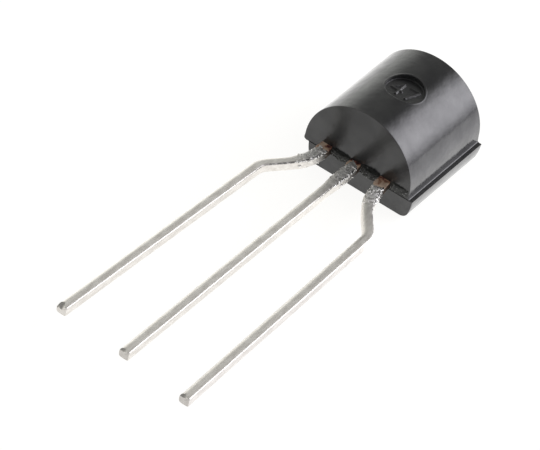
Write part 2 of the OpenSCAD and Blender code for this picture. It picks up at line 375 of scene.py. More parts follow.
def solder_finish():
    """Plain and smooth along the leads, a dull crust near the body, bright beads and painted shade on its
    ridge and sides.
    """
    f = Finish("solder_coat")
    ridge, bead, pale, cut = (f.read(name) for name in ("ridge", "bead", "pale", "cut"))
    near_body = f.past_face(*CRUST)
    on_top = f.mm.axis("Z").step(strip_mid + 0.1, strip_mid + 0.17)
    crust = near_body * (on_top * 0.75 + 0.25)
    grain, streak = f.noise(11.0, 4.0, 0.65), f.noise(7.0, 4.0, 0.6, (0.3, 1.0, 1.0))

    plain = f.mix(streak.step(0.35, 0.65), (0.72, 0.69, 0.65, 1), (0.84, 0.815, 0.775, 1))
    dull = f.mix(grain.step(0.36, 0.6), (0.4, 0.385, 0.37, 1), (0.76, 0.74, 0.71, 1))
    # pale flecks in the crust, set per lead: partly the crust's own paler tone, partly painted highlight
    bright = pale * f.past_face(*PALE)
    dull = f.mix(bright * grain.step(0.43, 0.5), dull, (0.9, 0.89, 0.87, 1))
    # painted shade: dark gaps along the ridge near the body that break its highlight into dashes, and a
    # little shade all along it
    ridge_shade_gaps = f.noise(10.0, 2.0, 0.5, (1.0, 1.0, 0.5)).step(0.55, 0.5) * ridge
    ridge_shade_gaps = ridge_shade_gaps * f.past_face(*RIDGE_SHADE_REACH) * 0.75 + ridge * 0.15
    base = f.mix(ridge_shade_gaps * (1 - bead), f.mix(crust, plain, dull), (0.09, 0.085, 0.08, 1))
    # painted shade: further from the body the ridge is mixed darker, so that it shows no highlight
    base = f.mix(ridge * (1 - near_body) * 0.3, base, (0.4, 0.39, 0.37, 1))
    # painted shade: below the top and near the body, the coat is mixed towards a dark grey
    low = (1 - on_top) * f.past_face(*SHADED_SIDES) * (1 - bead)
    base = f.mix(low * 0.8, base, (0.24, 0.23, 0.215, 1))
    # the beads are near white: partly their own bright tone, partly painted glint
    base = f.mix(bead * 0.8, base, (0.92, 0.91, 0.89, 1))
    base = f.mix(cut * 0.5, base, (0.3, 0.285, 0.27, 1))

    skin = f.bump(streak, 0.008)
    grains = f.bump(grain * (crust * 0.94 + 0.06) * (1 - bead), 0.05, skin)
    return f.surface(Base_Color=base, Metallic=1.0 - crust * (1 - bead) * 0.3, Normal=grains,
                     Roughness=0.38 + streak * 0.12 - bead * 0.2)


def copper_finish():
    """Bare copper with stains, darker and redder near the body as painted reflection of the black body,
    painted shade down its sides.
    """
    f = Finish("bare_copper")
    # painted shade: the dark brown that the copper's sides are mixed towards
    painted_side_shade = (0.025, 0.018, 0.012, 1)
    # random stains, and a painted reflection of the black body that makes the copper darker and redder near
    # it
    stain_and_body_reflection = f.noise(3.4, 3.0, 0.55, (1.0, 1.0, 0.6)) + f.past_face(*BODY_REFLECTION_FADE) * 0.15 - 0.06
    base = f.node("ShaderNodeValToRGB", {"stops": [
        (0.3, (0.05, 0.022, 0.022, 1)), (0.38, (0.25, 0.09, 0.07, 1)),
        (0.45, (0.56, 0.33, 0.21, 1)), (0.54, (0.82, 0.62, 0.48, 1))]}, {"Fac": stain_and_body_reflection})
    # painted shade down the copper's sides
    copper_side_shade = f.mm.axis("Z").step(strip_top - 0.04, strip_top - 0.12)
    return f.surface(Base_Color=f.mix(copper_side_shade * 0.9, base, painted_side_shade), Metallic=0.4,
                     Roughness=0.38 + stain_and_body_reflection * 0.2, Normal=f.bump(f.noise(14.0, 3.0), 0.01))


def silicon_finish():
    """Grey, with the fine lines of the saw."""
    f = Finish("silicon")
    sawn = f.noise(30.0, 2.0, 0.5, (1.0, 1.0, 6.0))
    base = f.mix(sawn, (0.10, 0.105, 0.13, 1), (0.17, 0.175, 0.20, 1))
    return f.surface(Base_Color=base, Metallic=0.6, Roughness=0.12 + sawn * 0.15, IOR=3.4)


def die_attach_finish():
    """Adhesive full of silver flakes."""
    f = Finish("die_attach_silver")
    flake = f.noise(45.0, 3.0)
    base = f.mix(flake, (0.5, 0.49, 0.47, 1), (0.74, 0.73, 0.7, 1))
    return f.surface(Base_Color=base, Metallic=1.0, Roughness=0.35 + flake * 0.2,
                     Normal=f.bump(flake, 0.002))


def gold_finish():
    """Drawn gold wire."""
    f = Finish("gold_wire")
    drawn = f.noise(60.0, 2.0)
    base = f.mix(drawn, (0.85, 0.58, 0.22, 1), (0.95, 0.68, 0.3, 1))
    return f.surface(Base_Color=base, Metallic=1.0, Roughness=0.18 + drawn * 0.1)


# ---- the moulded body ----

# rounded ends, with support lines beside them that keep the flat faces flat
END_EDGE_R, END_SUPPORT, END_EDGE_STEPS = 0.01, 0.01, 5
inner_end = face_x - END_EDGE_R - END_SUPPORT
# the round half reaches this far below the parting line, into the flat half that it is joined to
JOIN = 0.012
# its foot on the ledge is a small fillet, and its worn edge on the other side is rounded
FOOT_R, WORN_R = 0.045, 0.09
# heights of the skirt's rows over the parting line
SKIRT_RISES = (-JOIN, 0.0, 0.004, 0.01, 0.018, 0.028, 0.045, 0.065, 0.09)
# the square patch round the recess, and the cells across it and beside it
PATCH = 0.95
PATCH_CELLS, ROUND_CELLS, END_CELLS = 60, 44, 20
PATCH_RINGS, PATCH_GAP = 10, 0.01
# the recess's lip, its wall's lean and the fillet at its foot, and the low burr that the ejector pin leaves
RECESS_LIP, RECESS_LEAN, RECESS_FOOT = 0.013, 0.014, 0.02
WALL_SHARES = (0.25, 0.5, 0.75, 0.9)
BURR_W, BURR_H, BURR_RINGS = 0.07, 0.004, 8
FLOOR_RINGS = 56

# the recess's plain cavity number: strokes of each figure in a box one unit wide and FIGURE_TALL high
FIGURE_TALL = 1.5
FIGURES = {
    "4": [(0.72, 0), (0.72, FIGURE_TALL), (0, 0.5), (1, 0.5)],
    "7": [(0, FIGURE_TALL), (1, FIGURE_TALL), (0.4, 0)],
}
CAVITY_NUMBER = "47"
FIGURE_W, FIGURE_GAP = 0.42, 0.13
STROKE_HALF, STROKE_SOFT, STROKE_H = 0.016, 0.055, 0.05


def figure_strokes():
    """Every stroke as a pair of points on the recess's floor. The number reads along +Y, its top at -X."""
    total = len(CAVITY_NUMBER) * FIGURE_W + (len(CAVITY_NUMBER) - 1) * FIGURE_GAP
    strokes = []
    for place, figure in enumerate(CAVITY_NUMBER):
        left = -total / 2 + place * (FIGURE_W + FIGURE_GAP)
        spots = [np.array([(FIGURE_TALL / 2 - v) * FIGURE_W, left + u * FIGURE_W])
                 for u, v in FIGURES[figure]]
        strokes += zip(spots[:-1], spots[1:])
    return strokes


STROKES = figure_strokes()


def figure_h(x, y):
    """Height of the raised figures above the recess's floor, at a place measured from its middle."""
    spot = np.array([x, y])
    gaps = []
    for start, end in STROKES:
        along = end - start
        share = min(max(np.dot(spot - start, along) / np.dot(along, along), 0), 1)
        gaps.append(np.linalg.norm(spot - start - share * along))
    return STROKE_H * ease(min(gaps), STROKE_HALF + STROKE_SOFT, STROKE_HALF)


def edge_stations(*runs):
    """(x, inset) along the body: rounded ends with their support lines, and plain stations between them."""
    turns = [(face_x - END_EDGE_R + END_EDGE_R * math.sin(t), END_EDGE_R * (1 - math.cos(t)))
             for t in quarter(END_EDGE_STEPS)]
    end = [(inner_end, 0.0)] + turns + [(face_x, END_EDGE_R + END_SUPPORT)]
    middle = [(x, 0.0) for x in spaced(*runs)[1:-1]]
    return [(-x, inset) for x, inset in reversed(end)] + middle + end


def dome_z(y):
    return axis_z + math.sqrt(max(round_r ** 2 - y * y, 0))


def pairs(ring):
    """Each item of a closed ring with the next one."""
    return zip(ring, ring[1:] + ring[:1])


def skirt_rows(side, foot_r):
    """(y, z, outwards y, outwards z) of the rows up one side of the round half, from the parting line."""
    rows = []
    for rise in SKIRT_RISES:
        y = round_r + SKIRT_FLARE * min((axis_z - parting_z - rise) / (axis_z - parting_z), 1)
        y += side * (foot_r - math.sqrt(foot_r ** 2 - min(max(foot_r - rise, 0), foot_r) ** 2))
        rows.append((side * y, parting_z + rise, side, 0.0))
    return rows


def dome_rows():
    """The rows over the round side, closer together across the recess's patch."""
    patch_turn, off = math.asin(PATCH / round_r), math.asin(RECESS_Y / round_r)
    turns = spaced((-math.pi / 2, off - patch_turn, ROUND_CELLS),
                   (off - patch_turn, off + patch_turn, PATCH_CELLS),
                   (off + patch_turn, math.pi / 2, ROUND_CELLS))
    return [(round_r * math.sin(t), axis_z + round_r * math.cos(t), math.sin(t), math.cos(t)) for t in turns]


def recess_rings():
    """(radius, share of the way from the crown's surface to the floor, extra drop) from the rim inwards."""
    rings = []
    for k in range(BURR_RINGS):
        swell = math.sin(math.pi * k / BURR_RINGS) ** 2
        rings.append((RIM_R + RECESS_LIP + BURR_W * (1 - k / BURR_RINGS), 0.0, -BURR_H * swell))
    rings += [(RIM_R + RECESS_LIP * (1 - math.sin(t)), 0.0, RECESS_LIP * (1 - math.cos(t)))
              for t in quarter(4)]
    rings += [(RIM_R - RECESS_LEAN * share, share, RECESS_LIP * (1 - share)) for share in WALL_SHARES]
    rings += [(RIM_R - RECESS_LEAN - RECESS_FOOT * math.sin(t), 1.0, -RECESS_FOOT * (1 - math.sin(t)))
              for t in quarter(3)[1:]]
    floor_r = RIM_R - RECESS_LEAN - RECESS_FOOT
    return rings + [(floor_r * (1 - k / FLOOR_RINGS), 1.0, 0.0) for k in range(1, FLOOR_RINGS)]


def let_in_recess(points, faces, ring):
    """Fills a square ring of points with rings that turn round, pass over the burr and go into the recess."""
    square = [points[k] for k in ring]
    turns = [math.atan2(y - RECESS_Y, x) for x, y, _ in square]
    profile, floor_z = recess_rings(), crown_z - RECESS_DEPTH
    start_r = profile[0][0] + PATCH_GAP
    layers = []
    for k in range(1, PATCH_RINGS + 1):
        share = k / PATCH_RINGS
        flat = [(blend(x, start_r * math.cos(t), share), blend(y, RECESS_Y + start_r * math.sin(t), share))
                for (x, y, _), t in zip(square, turns)]
        layers.append([(x, y, dome_z(y)) for x, y in flat])
    for r, share, drop in profile:
        layer = []
        for t in turns:
            x, y = r * math.cos(t), RECESS_Y + r * math.sin(t)
            # the burr stays under the crown
            z = min(blend(dome_z(y), floor_z, share) - drop, crown_z)
            on_floor = share == 1.0 and drop == 0.0
            layer.append((x, y, z + figure_h(x, y - RECESS_Y) if on_floor else z))
        layers.append(layer)
    for layer in layers:
        inner = list(range(len(points), len(points) + len(layer)))
        points += layer
        faces += [(a, b, d, c) for (a, b), (c, d) in zip(pairs(ring), pairs(inner))]
        ring = inner
    points.append((0, RECESS_Y, floor_z + figure_h(0, 0)))
    faces += [(a, b, len(points) - 1) for a, b in pairs(ring)]


def round_half():
    """The half with the round side: rows run round it, stations along it, and the recess is let in."""
    rows = skirt_rows(-1, WORN_R) + dome_rows() + skirt_rows(1, FOOT_R)[::-1]
    stations = edge_stations((-inner_end, -PATCH, END_CELLS), (-PATCH, PATCH, PATCH_CELLS),
                             (PATCH, inner_end, END_CELLS))
    last_i, last_j = len(stations) - 1, len(rows) - 1
    points, index = [], {}
    for i, (x, inset) in enumerate(stations):
        for j, (y, z, out_y, out_z) in enumerate(rows):
            if j in (0, last_j):
                z += max(inset - END_EDGE_R, 0)
            lean = (z - parting_z) * math.tan(ROUND_END_DRAFT)
            share = min(max((abs(x) - PATCH) / (face_x - PATCH), 0), 1)
            index[i, j] = len(points)
            points.append((x - math.copysign(lean * share, x), y - inset * out_y, z - inset * out_z))

    i0 = next(i for i, (x, _) in enumerate(stations) if math.isclose(x, -PATCH))
    j0 = len(SKIRT_RISES) + ROUND_CELLS
    i1, j1 = i0 + PATCH_CELLS, j0 + PATCH_CELLS
    faces = []
    for i in range(last_i):
        for j in range(last_j):
            if not (i0 <= i < i1 and j0 <= j < j1):
                faces.append((index[i, j], index[i + 1, j], index[i + 1, j + 1], index[i, j + 1]))
        faces.append((index[i, last_j], index[i + 1, last_j], index[i + 1, 0], index[i, 0]))
    faces.append([index[0, j] for j in range(last_j + 1)])
    faces.append([index[last_i, j] for j in range(last_j, -1, -1)])
    loop = ([(i, j0) for i in range(i0, i1)] + [(i1, j) for j in range(j0, j1)]
            + [(i, j1) for i in range(i1, i0, -1)] + [(i0, j) for j in range(j1, j0, -1)])
    let_in_recess(points, faces, [index[key] for key in loop])
    return mesh_from("round_half", points, faces)


# cells along the flat half, steps round its long edges and up its sides, and a support line on its face
FLAT_CELLS, FLAT_EDGE_STEPS, FLANK_STEPS = 40, 14, 12
FLAT_SUPPORT = 0.02


def flat_section(inset):
    """(y, z) round the flat half's section: down its -Y side, over the flat face and up its +Y side."""
    half_b = FLAT_HALF_TOP - parting_z * math.tan(SIDE_DRAFT)
    arc_y = half_b - FLAT_EDGE_R * math.tan(math.pi / 4 - SIDE_DRAFT / 2)
    side, r = [(arc_y - FLAT_SUPPORT, inset)], FLAT_EDGE_R - inset
    for k in range(FLAT_EDGE_STEPS + 1):
        t = (-math.pi / 2) + k / FLAT_EDGE_STEPS * (math.pi / 2 - LOW_DRAFT)
        side.append((arc_y + r * math.cos(t), FLAT_EDGE_R + r * math.sin(t)))
    low_y, low_z = side[-1]
    top_y = FLAT_HALF_TOP - inset / math.cos(SIDE_DRAFT)
    top_z = parting_z - max(inset - END_EDGE_R, 0)
    for k in range(1, FLANK_STEPS + 1):
        share = k / FLANK_STEPS
        bulge = SIDE_BULGE * 4 * share * (1 - share)
        side.append((blend(low_y, top_y, share) + bulge, blend(low_z, top_z, share)))
    return [(-y, z) for y, z in reversed(side)] + side


def flat_half():
    """The half with the flat face: drafted sides, rounded into the flat face."""
    sections = []
    for x, inset in edge_stations((-inner_end, inner_end, FLAT_CELLS)):
        section = []
        for y, z in flat_section(inset):
            lean = (parting_z - z) * math.tan(FLAT_END_DRAFT) * (abs(x) / face_x)
            section.append((x - math.copysign(lean, x) + MOULD_SHIFT_X, y + mould_shift_y, z))
        sections.append(section)
    width = len(sections[0])
    rings = [list(range(k * width, (k + 1) * width)) for k in range(len(sections))]
    faces = [(a, b, d, c) for ring, after in zip(rings[:-1], rings[1:])
             for (a, b), (c, d) in zip(pairs(ring), pairs(after))]
    faces += [rings[0], rings[-1][::-1]]
    return mesh_from("flat_half", sum(sections, []), faces)


moulding = moulding_finish()
epoxy_body = link("epoxy_body", round_half(), moulding)
union(epoxy_body, link("flat_half", flat_half(), moulding))
shade(epoxy_body, 32)
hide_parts("moulded_body")
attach(epoxy_body, "root")


# ---- leads: the middle line of each, and the solder along it ----

STRAIGHT_L = 0.08
SPREAD = math.radians(38)
KNEE_R = 0.82
BASE_LEAN, BASE_BEND_L = math.radians(0.2), 0.5
# side, radius of the slow bend, distance from the base lead at the knee, and lean beyond the knee
FORMED = {
    "collector": (-1, 2.86, 2.47, math.radians(2.3)),
    "emitter": (1, 3.4, 2.56, math.radians(1)),
}
# how far from the body the solder starts, how much later it starts towards +Y, and where that fades
SOLDER_FROM = {"collector": 0.3, "base": 0.1, "emitter": 0.52}
SOLDER_SKEW = {"collector": 0.0, "base": 0.7, "emitter": -0.3}
SKEW_FADE = 0.45
# how pale the crust is on each shoulder: partly its own tone, partly painted highlight
CRUST_TONE_AND_HIGHLIGHT = {"collector": 0.75, "base": 0.5, "emitter": 1.0}
# height over each lead's middle where its sheared corner starts
SHEAR_FROM = {"collector": 0.03, "base": 0.11, "emitter": 0.1}
SHEAR_SLOPE = 1.4
SKIN_SEED = {"collector": 3.0, "base": 14.0, "emitter": 25.0}

# half widths and half heights of the coat where it starts, over the shoulder and beyond it
ROOT_HALF, SHOULDER_HALF, NARROW_HALF = 0.226, 0.258, 0.212
ROOT_HALF_H, SHOULDER_HALF_H, LEAD_HALF_H = 0.17, 0.205, 0.196
# how long the coat takes to swell where it starts, and where the shoulder and its lumps end
ROOT_SWELL = 0.16
SHOULDER_END = 1.52
SHOULDER_FADE, LUMPS_FADE = (-0.2, 0.25), (-0.1, 0.5)
# how far before its tip the lead starts to be sheared and where it is in full, and the same across it
SHEAR_FADE, SHEAR_ACROSS = (0.35, 0.02), (0.09, -0.02)
# the sections are nearly square, but the leads' -Y edges are round, as the forming tool wore them
SHARP_EXPONENT, WORN_EXPONENT = 7, 2
STATION_GAP = 0.04
RING_SIDES = 64
TIP_EDGE_R, TIP_RINGS = 0.02, 7
# past HIDDEN_FROM, under the solder, the copper is drawn at a share of its thickness, and its end shorter
HIDDEN_FROM, HIDDEN_SHARE, HIDDEN_SHORTER = 0.45, 0.7, 0.15
SEARCH_GAP = 0.02


def walk(s, runs):
    """(x, y, heading) at s along a chain of runs of (length, turn)."""
    x = y = heading = 0.0
    for k, (length, turn) in enumerate(runs):
        part = s if k == len(runs) - 1 else min(s, length)
        if turn:
            r, new = length / turn, heading + turn * part / length
            x, y = x + r * (math.sin(new) - math.sin(heading)), y + r * (math.cos(heading) - math.cos(new))
            heading = new
        else:
            x, y = x + part * math.cos(heading), y + part * math.sin(heading)
        s -= part
        if s <= 0:
            break
    return x, y, heading


class Lead:
    """Where one lead runs, from the body to its tip."""

    def __init__(self, name):
        self.name = name
        length = box_mm(name + "_lead")[1][0] - face_x
        if name in FORMED:
            self.side, bend_r, pitch, lean = FORMED[name]
            rise = bend_r * (1 - math.cos(SPREAD)) + KNEE_R * (math.cos(lean) - math.cos(SPREAD))
            slant = (pitch - ROOT_PITCH - rise) / math.sin(SPREAD)
            self.runs = [(STRAIGHT_L, 0.0), (bend_r * SPREAD, SPREAD), (slant, 0.0),
                         (KNEE_R * (SPREAD - lean), lean - SPREAD)]
        else:
            self.side = 0
            self.runs = [(STRAIGHT_L, 0.0), (BASE_BEND_L, -BASE_LEAN)]
        x, _, heading = walk(sum(run[0] for run in self.runs), self.runs)
        self.runs.append(((length - x) / math.cos(heading), 0.0))
        self.length = sum(run[0] for run in self.runs)

    def at(self, s):
        """(x, y, heading) in the part's frame."""
        x, y, heading = walk(s, self.runs)
        flip = -1 if self.side < 0 else 1
        return face_x + x, self.side * ROOT_PITCH - FRAME_OFF + flip * y, flip * heading

    def nearest(self, x, y):
        spots = [self.at(k * SEARCH_GAP) for k in range(int(self.length / SEARCH_GAP) + 2)]
        return min(spots, key=lambda spot: (spot[0] - x) ** 2 + (spot[1] - y) ** 2)


def coat_sizes(lead, s, share, inset):
    """What the coat is like at s along the lead, by name; share and inset are how far the tip closes it."""
    start, tip = SOLDER_FROM[lead.name], lead.length + TIP_EDGE_R
    x, y, heading = lead.at(s)
    past = ease(s, SHOULDER_END + SHOULDER_FADE[0], SHOULDER_END + SHOULDER_FADE[1])
    on_root = 1 - ease(s, start, start + ROOT_SWELL)
    half_w = blend(blend(SHOULDER_HALF, NARROW_HALF, past), ROOT_HALF, on_root)
    half_h = blend(blend(SHOULDER_HALF_H, LEAD_HALF_H, past), ROOT_HALF_H, on_root)
    return {
        "spine": (x, y, strip_mid),
        "heading": heading,
        "half_w": (half_w - inset) * share,
        "half_h": (half_h - inset) * share,
        "lump": 1 - ease(s, SHOULDER_END + LUMPS_FADE[0], SHOULDER_END + LUMPS_FADE[1]),
        "near_tip": ease(s, tip - SHEAR_FADE[0], tip - SHEAR_FADE[1]),
        "pale": CRUST_TONE_AND_HIGHLIGHT[lead.name],
        "cut": 1.0 if inset > TIP_EDGE_R * 0.9 else 0.0,
        "skew": SOLDER_SKEW[lead.name] * (1 - ease(s, start, start + SKEW_FADE)),
    }


def coat_path(lead):
    """A line of points along the lead, each with the coat's sizes there, that the node tree skins."""
    start, tip = SOLDER_FROM[lead.name], lead.length + TIP_EDGE_R
    count = int((tip - TIP_EDGE_R - start) / STATION_GAP)
    stations = [(start + k * STATION_GAP, 1.0, 0.0) for k in range(count)]
    stations += [(tip - TIP_EDGE_R + TIP_EDGE_R * math.sin(t), 1.0, TIP_EDGE_R * (1 - math.cos(t)))
                 for t in quarter(3)]
    stations += [(tip, 1 - k / TIP_RINGS, TIP_EDGE_R) for k in range(1, TIP_RINGS)]
    sizes = [coat_sizes(lead, *station) for station in stations]
    mesh = bpy.data.meshes.new(lead.name + "_path")
    mesh.from_pydata([here["spine"] for here in sizes], [(k, k + 1) for k in range(len(sizes) - 1)], [])
    for name in sizes[0]:
        kind, field = ("FLOAT_VECTOR", "vector") if name == "spine" else ("FLOAT", "value")
        column = np.array([here[name] for here in sizes], "f")
        mesh.attributes.new(name, kind, "POINT").data.foreach_set(field, column.ravel())
    return mesh


# noise on the coat: its scale and detail, how high it stands, and how far off its pattern is taken
COARSE_LUMPS, FINE_LUMPS = (4.5, 2.0, 0.05, 0.0), (12.0, 3.0, 0.05, 9.0)
LONG_WAVES = (1.6, 2.0, 0.012, 30.0)
RAGGED_START = (7.0, 3.0, 0.42, 50.0)
# angles round the section, in radians, where the ridge on the +Y edge, with its beads and painted shade,
# rises and falls
RIDGE_RISES, RIDGE_FALLS = (0.2, 0.5), (1.3, 1.0)
# beads of solder to the square millimetre, how many more on the ridge, and their radii
BEADS, BEADS_ON_RIDGE, BEAD_R = 26.0, 260.0, (0.012, 0.034)
# how much longer and wider they are on the ridge
BEAD_LONGER, BEAD_WIDER = 1.6, 0.3


def solder_skin_tree():
    """Skins a coat_path: rounded-square rings, lumps by seed, a ragged start, a sheared tip, and beads."""
    g = Geometry("solder_skin", Seed="NodeSocketFloat", Shear_From="NodeSocketFloat",
                 Finish="NodeSocketMaterial")
    # only the ring's angles count: every point of the skin is placed anew below
    ring = g.node("GeometryNodeCurvePrimitiveCircle", None, {"Resolution": RING_SIDES, "Radius": 0.01})
    ring = g.stored(ring, "around", g.node("GeometryNodeInputIndex") * (math.tau / RING_SIDES))
    path = g.node("GeometryNodeMeshToCurve", None, {"Mesh": g.given["Geometry"]})
    skin = g.node("GeometryNodeCurveToMesh", None, {"Curve": path, "Profile Curve": ring, "Fill Caps": True})

    turn, heading, seed = g.read("around"), g.read("heading"), g.given["Seed"]
    half_w, half_h, lump = g.read("half_w"), g.read("half_h"), g.read("lump")
    cosine, sine = turn.math("COSINE"), turn.math("SINE")
    worn = cosine.math("LESS_THAN", 0.0) * half_h.step(ROOT_HALF_H, LEAD_HALF_H * 0.97)
    power = (1 - worn) * (2 / SHARP_EXPONENT) + worn * (2 / WORN_EXPONENT)
    across = cosine.math("SIGN") * cosine.math("ABSOLUTE") ** power * half_w
    rise = sine.math("SIGN") * sine.math("ABSOLUTE") ** power * half_h
    side = g.vector(heading.math("SINE") * -1, heading.math("COSINE"), 0.0)
    ahead = g.vector(heading.math("COSINE"), heading.math("SINE"), 0.0)
    up = g.vector(0.0, 0.0, 1.0)
    spine = g.read("spine", "FLOAT_VECTOR")
    place = spine.vector("ADD", side.vector("SCALE", across)).vector("ADD", up.vector("SCALE", rise))
    outwards = side.vector("SCALE", cosine).vector("ADD", up.vector("SCALE", sine))

    def noise(scale, detail, height, shift):
        there = place.vector("ADD", g.vector(seed + shift, seed * 0.7, 0.0))
        fac = g.node("ShaderNodeTexNoise", None, {"Vector": there, "Scale": scale, "Detail": detail}, "Fac")
        return (fac - 0.5) * height

    on_outside = half_h.step(LEAD_HALF_H * 0.8, LEAD_HALF_H * 0.95)
    lumps = noise(*COARSE_LUMPS) + noise(*FINE_LUMPS)
    swell = (lumps * lump + noise(*LONG_WAVES)) * on_outside
    ragged = noise(*RAGGED_START) * lump.step(0.99, 1.0) * half_w.step(ROOT_HALF + 0.03, ROOT_HALF)
    corner = (rise - g.given["Shear_From"]).math("MAXIMUM", 0.0) * across.step(*SHEAR_ACROSS)
    sheared = corner * g.read("near_tip") * -SHEAR_SLOPE
    place = place.vector("ADD", outwards.vector("SCALE", swell))
    place = place.vector("ADD", ahead.vector("SCALE", ragged + sheared + g.read("skew") * across))
    skin = g.node("GeometryNodeSetShadeSmooth", None, {"Geometry": g.moved(skin, place)})
    ridge = turn.step(*RIDGE_RISES) * turn.step(*RIDGE_FALLS)
    skin = g.stored(skin, "ridge", ridge)

    spots = g.node("GeometryNodeDistributePointsOnFaces", None, {
        "Mesh": skin, "Density": lump * lump * (ridge * BEADS_ON_RIDGE + BEADS), "Seed": 4}, "Points")
    bead_r = g.random(*BEAD_R, 7)
    wide = bead_r * (ridge * BEAD_WIDER + 1)
    bead = g.node("GeometryNodeMeshIcoSphere", None, {"Radius": 1.0, "Subdivisions": 2}, "Mesh")
    beads = g.node("GeometryNodeInstanceOnPoints", None, {
        "Points": spots, "Instance": bead, "Rotation": g.vector(0.0, 0.0, heading),
        "Scale": g.vector(bead_r * (ridge * BEAD_LONGER + 1), wide, wide)})
    g.finish(g.joined(skin, g.stored(beads, "bead", 1.0, "INSTANCE")), g.given["Finish"])
    return g


solder, copper = solder_finish(), copper_finish()
solder_skin = solder_skin_tree()


def solder_coat(lead):
    piece = link(lead.name + "_tinning", coat_path(lead))
    solder_skin.baked(piece, Seed=SKIN_SEED[lead.name], Shear_From=SHEAR_FROM[lead.name], Finish=solder)
    outwards_only(piece.data)
    shade(piece, 38)
    return piece


def copper_strip(lead):
    """The CAD lead's own shape, drawn thinner where the solder hides it, so that its corners stay inside."""
    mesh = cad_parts[lead.name + "_lead"].data.copy()
    soup = bmesh.new()
    soup.from_mesh(mesh)
    bmesh.ops.remove_doubles(soup, verts=soup.verts, dist=1e-7)
    for spot in soup.verts:
        along = spot.co.x / MM - face_x
        if along > HIDDEN_FROM:
            x, y, _ = lead.nearest(spot.co.x / MM, spot.co.y / MM)
            middle = Vector((x, y, strip_mid)) * MM
            spot.co = middle + (spot.co - middle) * HIDDEN_SHARE
        if along > lead.length - 1:
            spot.co.x -= HIDDEN_SHORTER * MM
    soup.to_mesh(mesh)
    soup.free()
    mesh.materials.clear()
    return link(lead.name + "_strip", mesh, copper)


for lead in (Lead(name) for name in ("collector", "base", "emitter")):
    coat, strip = solder_coat(lead), copper_strip(lead)
    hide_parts(lead.name + "_solder_coat")
    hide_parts(lead.name + "_lead")
    for piece in (coat, strip):
        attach(piece, "root")


# ---- resin broken off at the parting line ----

GAP = ROOT_PITCH - ROOT_W
# y of its middle, width, top, how far it stands proud, and which end it is on
BROKEN_RESIN = {
    "resin_collector_to_base": (-ROOT_PITCH / 2 - FRAME_OFF, GAP, 1.27, 0.12, 1),
    "resin_base_to_emitter": (ROOT_PITCH / 2 - FRAME_OFF, GAP, 1.31, 0.15, 1),
    "resin_by_emitter": (1.86, 0.78, 1.34, 0.05, 1),
    "gate_stub": (0.0, 0.9, strip_top, 0.02, -1),
    "resin_behind_ledge": (2.1, 0.42, 1.02, 0.025, -1),
}
SLAB_T, ROOTED = 0.1, 0.06
# shares of how far a slab stands proud: how rough it breaks, and how much less it bulges at its sides
CRUMBLE, FALL_OFF = 1.2, 0.85
# how much lower its outer side is
LOWER_OUTSIDE = 0.3
CHIPS, CHIP_R = 45.0, (0.01, 0.03)
SEED_STEP = 7.0


def broken_resin_tree():
    """A slab of resin as Size says: it bulges as far as Proud in its middle, and its outer side is broken."""
    g = Geometry("broken_resin_slab", Place="NodeSocketVector", Size="NodeSocketVector",
                 Proud="NodeSocketFloat", Seed="NodeSocketFloat", Finish="NodeSocketMaterial")
    size, proud = g.given["Size"], g.given["Proud"]
    slab = g.node("GeometryNodeMeshCube", None, {
        "Size": size, "Vertices X": 10, "Vertices Y": 52, "Vertices Z": 20}, "Mesh")
    spot = g.node("GeometryNodeInputPosition")
    share = spot.vector("DIVIDE", size)
    out, across = share.axis("X") + 0.5, share.axis("Y") * 2
    rough = g.node("ShaderNodeTexNoise", None, {
        "Vector": spot.vector("ADD", g.vector(g.given["Seed"], 0.0, 0.0)),
        "Scale": 8.0, "Detail": 4.0, "Roughness": 0.65}, "Color").vector("SUBTRACT", (0.5, 0.5, 0.5))
    bulge = out * proud * (1 - across * across * FALL_OFF)
    place = spot.vector("MULTIPLY", (0.0, 1.0, 1.0))
    place = place.vector("MULTIPLY", g.vector(1.0, 1.0, 1 - out * LOWER_OUTSIDE))
    place = place.vector("ADD", g.given["Place"])
    place = place.vector("ADD", g.vector(bulge - (1 - out) * ROOTED, 0.0, 0.0))
    slab = g.moved(slab, place.vector("ADD", rough.vector("SCALE", out * proud * CRUMBLE)))

    spots = g.node("GeometryNodeDistributePointsOnFaces", None, {
        "Mesh": slab, "Selection": out.math("GREATER_THAN", 0.6), "Density": CHIPS, "Seed": 3}, "Points")
    turned = g.node("FunctionNodeRandomValue", {"data_type": "FLOAT_VECTOR"}, {
        0: (0.0, 0.0, 0.0), 1: (math.tau, math.tau, math.tau), "Seed": 5}, 0)
    chip = g.node("GeometryNodeMeshIcoSphere", None, {"Radius": 1.0, "Subdivisions": 1}, "Mesh")
    chips = g.node("GeometryNodeInstanceOnPoints", None, {
        "Points": spots, "Instance": chip, "Rotation": turned, "Scale": g.random(*CHIP_R, 6)})
    g.finish(g.joined(slab, g.stored(chips, "bead", 1.0, "INSTANCE")), g.given["Finish"])
    return g


def broken_resin(name, seed, slab_tree, finish):
    y, width, top, proud, end = BROKEN_RESIN[name]
    piece = link(name, bpy.data.meshes.new(name))
    slab_tree.baked(piece, Place=(face_x, end * y, (top + parting_z) / 2),
                    Size=(SLAB_T, width, top - parting_z), Proud=proud, Seed=seed, Finish=finish)
    if end < 0:
        piece.data.transform(Matrix.Rotation(math.pi, 4, "Z"))
    outwards_only(piece.data)
    shade(piece, 24)
    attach(piece, "root")


slab_tree, resin = broken_resin_tree(), broken_resin_finish()
for place, name in enumerate(BROKEN_RESIN):
    broken_resin(name, SEED_STEP * place, slab_tree, resin)


# ---- the die, its attach and the bond wires keep their CAD shapes ----

gold = gold_finish()
for node, finish in (("silicon_die", silicon_finish()), ("die_attach", die_attach_finish()),
                     ("base_bond_wire", gold), ("emitter_bond_wire", gold)):
    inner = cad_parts[node].data
    inner.materials.clear()
    inner.materials.append(finish)


# ---- floor, light and camera ----

